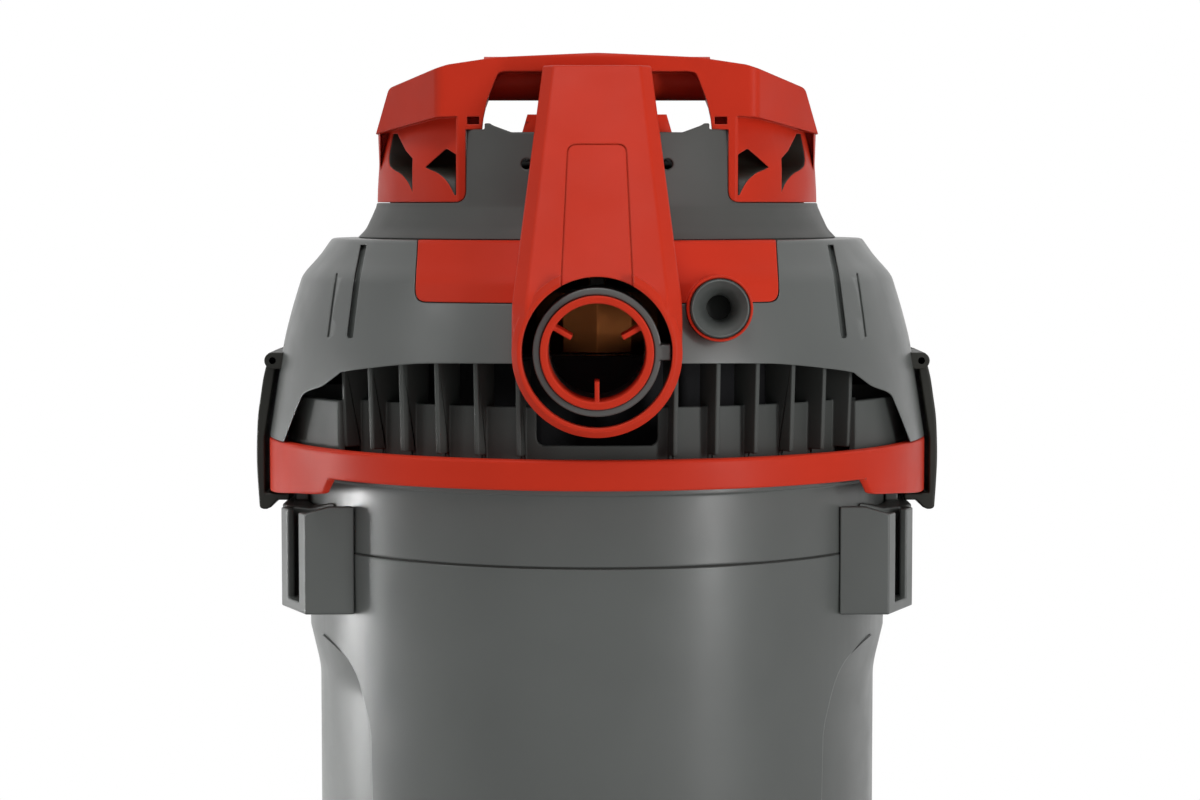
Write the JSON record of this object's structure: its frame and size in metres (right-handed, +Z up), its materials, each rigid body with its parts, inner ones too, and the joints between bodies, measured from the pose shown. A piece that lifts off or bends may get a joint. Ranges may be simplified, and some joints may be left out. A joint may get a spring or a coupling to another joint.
{
  "type": "shop vacuum",
  "caption": "Wet and dry shop vacuum: round grey tank on wheels, lift-off head with red band, carry handle, rear blow port, air grilles and side latches.",
  "frame": {"origin": "on the floor under the tank's upright axis", "axes": "+Z up, the rear with the blow port faces -Y, the hose inlet faces +Y, +X to the right seen from the rear"},
  "size_m": [0.3864, 0.39, 0.583],
  "materials": {
    "grey_plastic": "satin moulded grey",
    "dark_plastic": "fine-textured dark grey",
    "red_plastic": "satin moulded red",
    "black_plastic": "moulded black",
    "rubber": "matt black rubber",
    "tyre": "moulded tyre",
    "steel": "turned steel",
    "aluminium": "pressed aluminium",
    "copper": "wound copper",
    "filter_paper": "pleated paper",
    "foam": "open-cell foam",
    "ball_plastic": "smooth white plastic",
    "circuit_board": "green laminate"
  },
  "bodies": {
    "tank": {"tank": "grey_plastic", "hose_inlet_socket": "black_plastic", "inlet_seal": "rubber", "inlet_deflector": "black_plastic", "chassis": "black_plastic", "rear_axle": "steel", "bracket_left": "grey_plastic", "bracket_right": "grey_plastic"},
    "head": {"rim_band": "red_plastic", "head_shell": "grey_plastic", "rear_grille": "grey_plastic", "front_grille": "grey_plastic", "rear_panel": "red_plastic", "cord_gland": "grey_plastic", "rear_column": "red_plastic", "port_collar": "grey_plastic", "port_ring": "red_plastic", "top_cowl": "dark_plastic", "carry_handle": "red_plastic", "lower_housing": "black_plastic", "rim_seal": "rubber", "cartridge_filter": "filter_paper", "filter_cap": "black_plastic", "float_cage": "black_plastic", "motor_gasket": "rubber", "fan_housing": "steel", "lower_bearing": "steel", "upper_bearing": "steel", "stator": "copper", "motor_bridge": "black_plastic", "brush_holder_front": "black_plastic", "brush_holder_rear": "black_plastic", "exhaust_foam": "foam", "control_panel": "dark_plastic", "flap_pin": "steel", "control_board": "circuit_board", "latch_pin_left": "steel", "latch_pin_right": "steel"},
    "filter_knob": {"filter_knob": "red_plastic"},
    "float": {"float_ball": "ball_plastic"},
    "rotor": {"impeller": "aluminium", "motor_shaft": "steel", "armature": "copper", "commutator": "copper"},
    "mode_knob": {"mode_knob": "red_plastic"},
    "socket_flap": {"socket_flap": "black_plastic"},
    "latch_left": {"latch_left": "black_plastic"},
    "wheel_left": {"tyre_left": "tyre", "wheel_hub_left": "grey_plastic", "hub_cap_left": "red_plastic"},
    "caster_left": {"caster_fork_left": "black_plastic", "caster_pin_left": "steel"},
    "caster_wheel_left": {"caster_wheel_left": "rubber"},
    "latch_right": {"latch_right": "black_plastic"},
    "wheel_right": {"tyre_right": "tyre", "wheel_hub_right": "grey_plastic", "hub_cap_right": "red_plastic"},
    "caster_right": {"caster_fork_right": "black_plastic", "caster_pin_right": "steel"},
    "caster_wheel_right": {"caster_wheel_right": "rubber"}
  },
  "joints": [
    {"name": "head_lift", "type": "slide", "parent": "tank", "child": "head", "axis": [0, 0, 1], "range_m": [0, 0.3]},
    {"name": "filter_knob_turn", "type": "hinge", "parent": "head", "child": "filter_knob", "pos_m": [0, 0, 0.2], "axis": [0, 0, 1], "range_deg": [0, 90]},
    {"name": "float_rise", "type": "slide", "parent": "head", "child": "float", "axis": [0, 0, 1], "range_m": [0, 0.045]},
    {"name": "rotor_spin", "type": "hinge", "parent": "head", "child": "rotor", "pos_m": [0, 0, 0.43], "axis": [0, 0, 1], "continuous": true},
    {"name": "mode_knob_turn", "type": "hinge", "parent": "head", "child": "mode_knob", "pos_m": [-0.038, 0.18, 0.455], "axis": [0, 1, 0], "range_deg": [0, 240]},
    {"name": "socket_flap_open", "type": "hinge", "parent": "head", "child": "socket_flap", "pos_m": [0.038, 0.1784, 0.4756], "axis": [1, 0, 0], "range_deg": [0, 100], "stiffness_Nm_per_rad": 0.02, "springref_deg": -28.65},
    {"name": "latch_left_open", "type": "hinge", "parent": "head", "child": "latch_left", "pos_m": [-0.1834, 0, 0.4135], "axis": [0, 1, 0], "range_deg": [0, 45]},
    {"name": "wheel_left_roll", "type": "hinge", "parent": "tank", "child": "wheel_left", "pos_m": [-0.173, -0.105, 0.062], "axis": [1, 0, 0], "continuous": true},
    {"name": "caster_left_swivel", "type": "hinge", "parent": "tank", "child": "caster_left", "pos_m": [-0.08, 0.105, 0.06], "axis": [0, 0, 1], "continuous": true},
    {"name": "caster_left_roll", "type": "hinge", "parent": "caster_left", "child": "caster_wheel_left", "pos_m": [-0.08, 0.09, 0.022], "axis": [1, 0, 0], "continuous": true},
    {"name": "latch_right_open", "type": "hinge", "parent": "head", "child": "latch_right", "pos_m": [0.1834, 0, 0.4135], "axis": [0, -1, 0], "range_deg": [0, 45]},
    {"name": "wheel_right_roll", "type": "hinge", "parent": "tank", "child": "wheel_right", "pos_m": [0.173, -0.105, 0.062], "axis": [1, 0, 0], "continuous": true},
    {"name": "caster_right_swivel", "type": "hinge", "parent": "tank", "child": "caster_right", "pos_m": [0.08, 0.105, 0.06], "axis": [0, 0, 1], "continuous": true},
    {"name": "caster_right_roll", "type": "hinge", "parent": "caster_right", "child": "caster_wheel_right", "pos_m": [0.08, 0.09, 0.022], "axis": [1, 0, 0], "continuous": true}
  ]
}
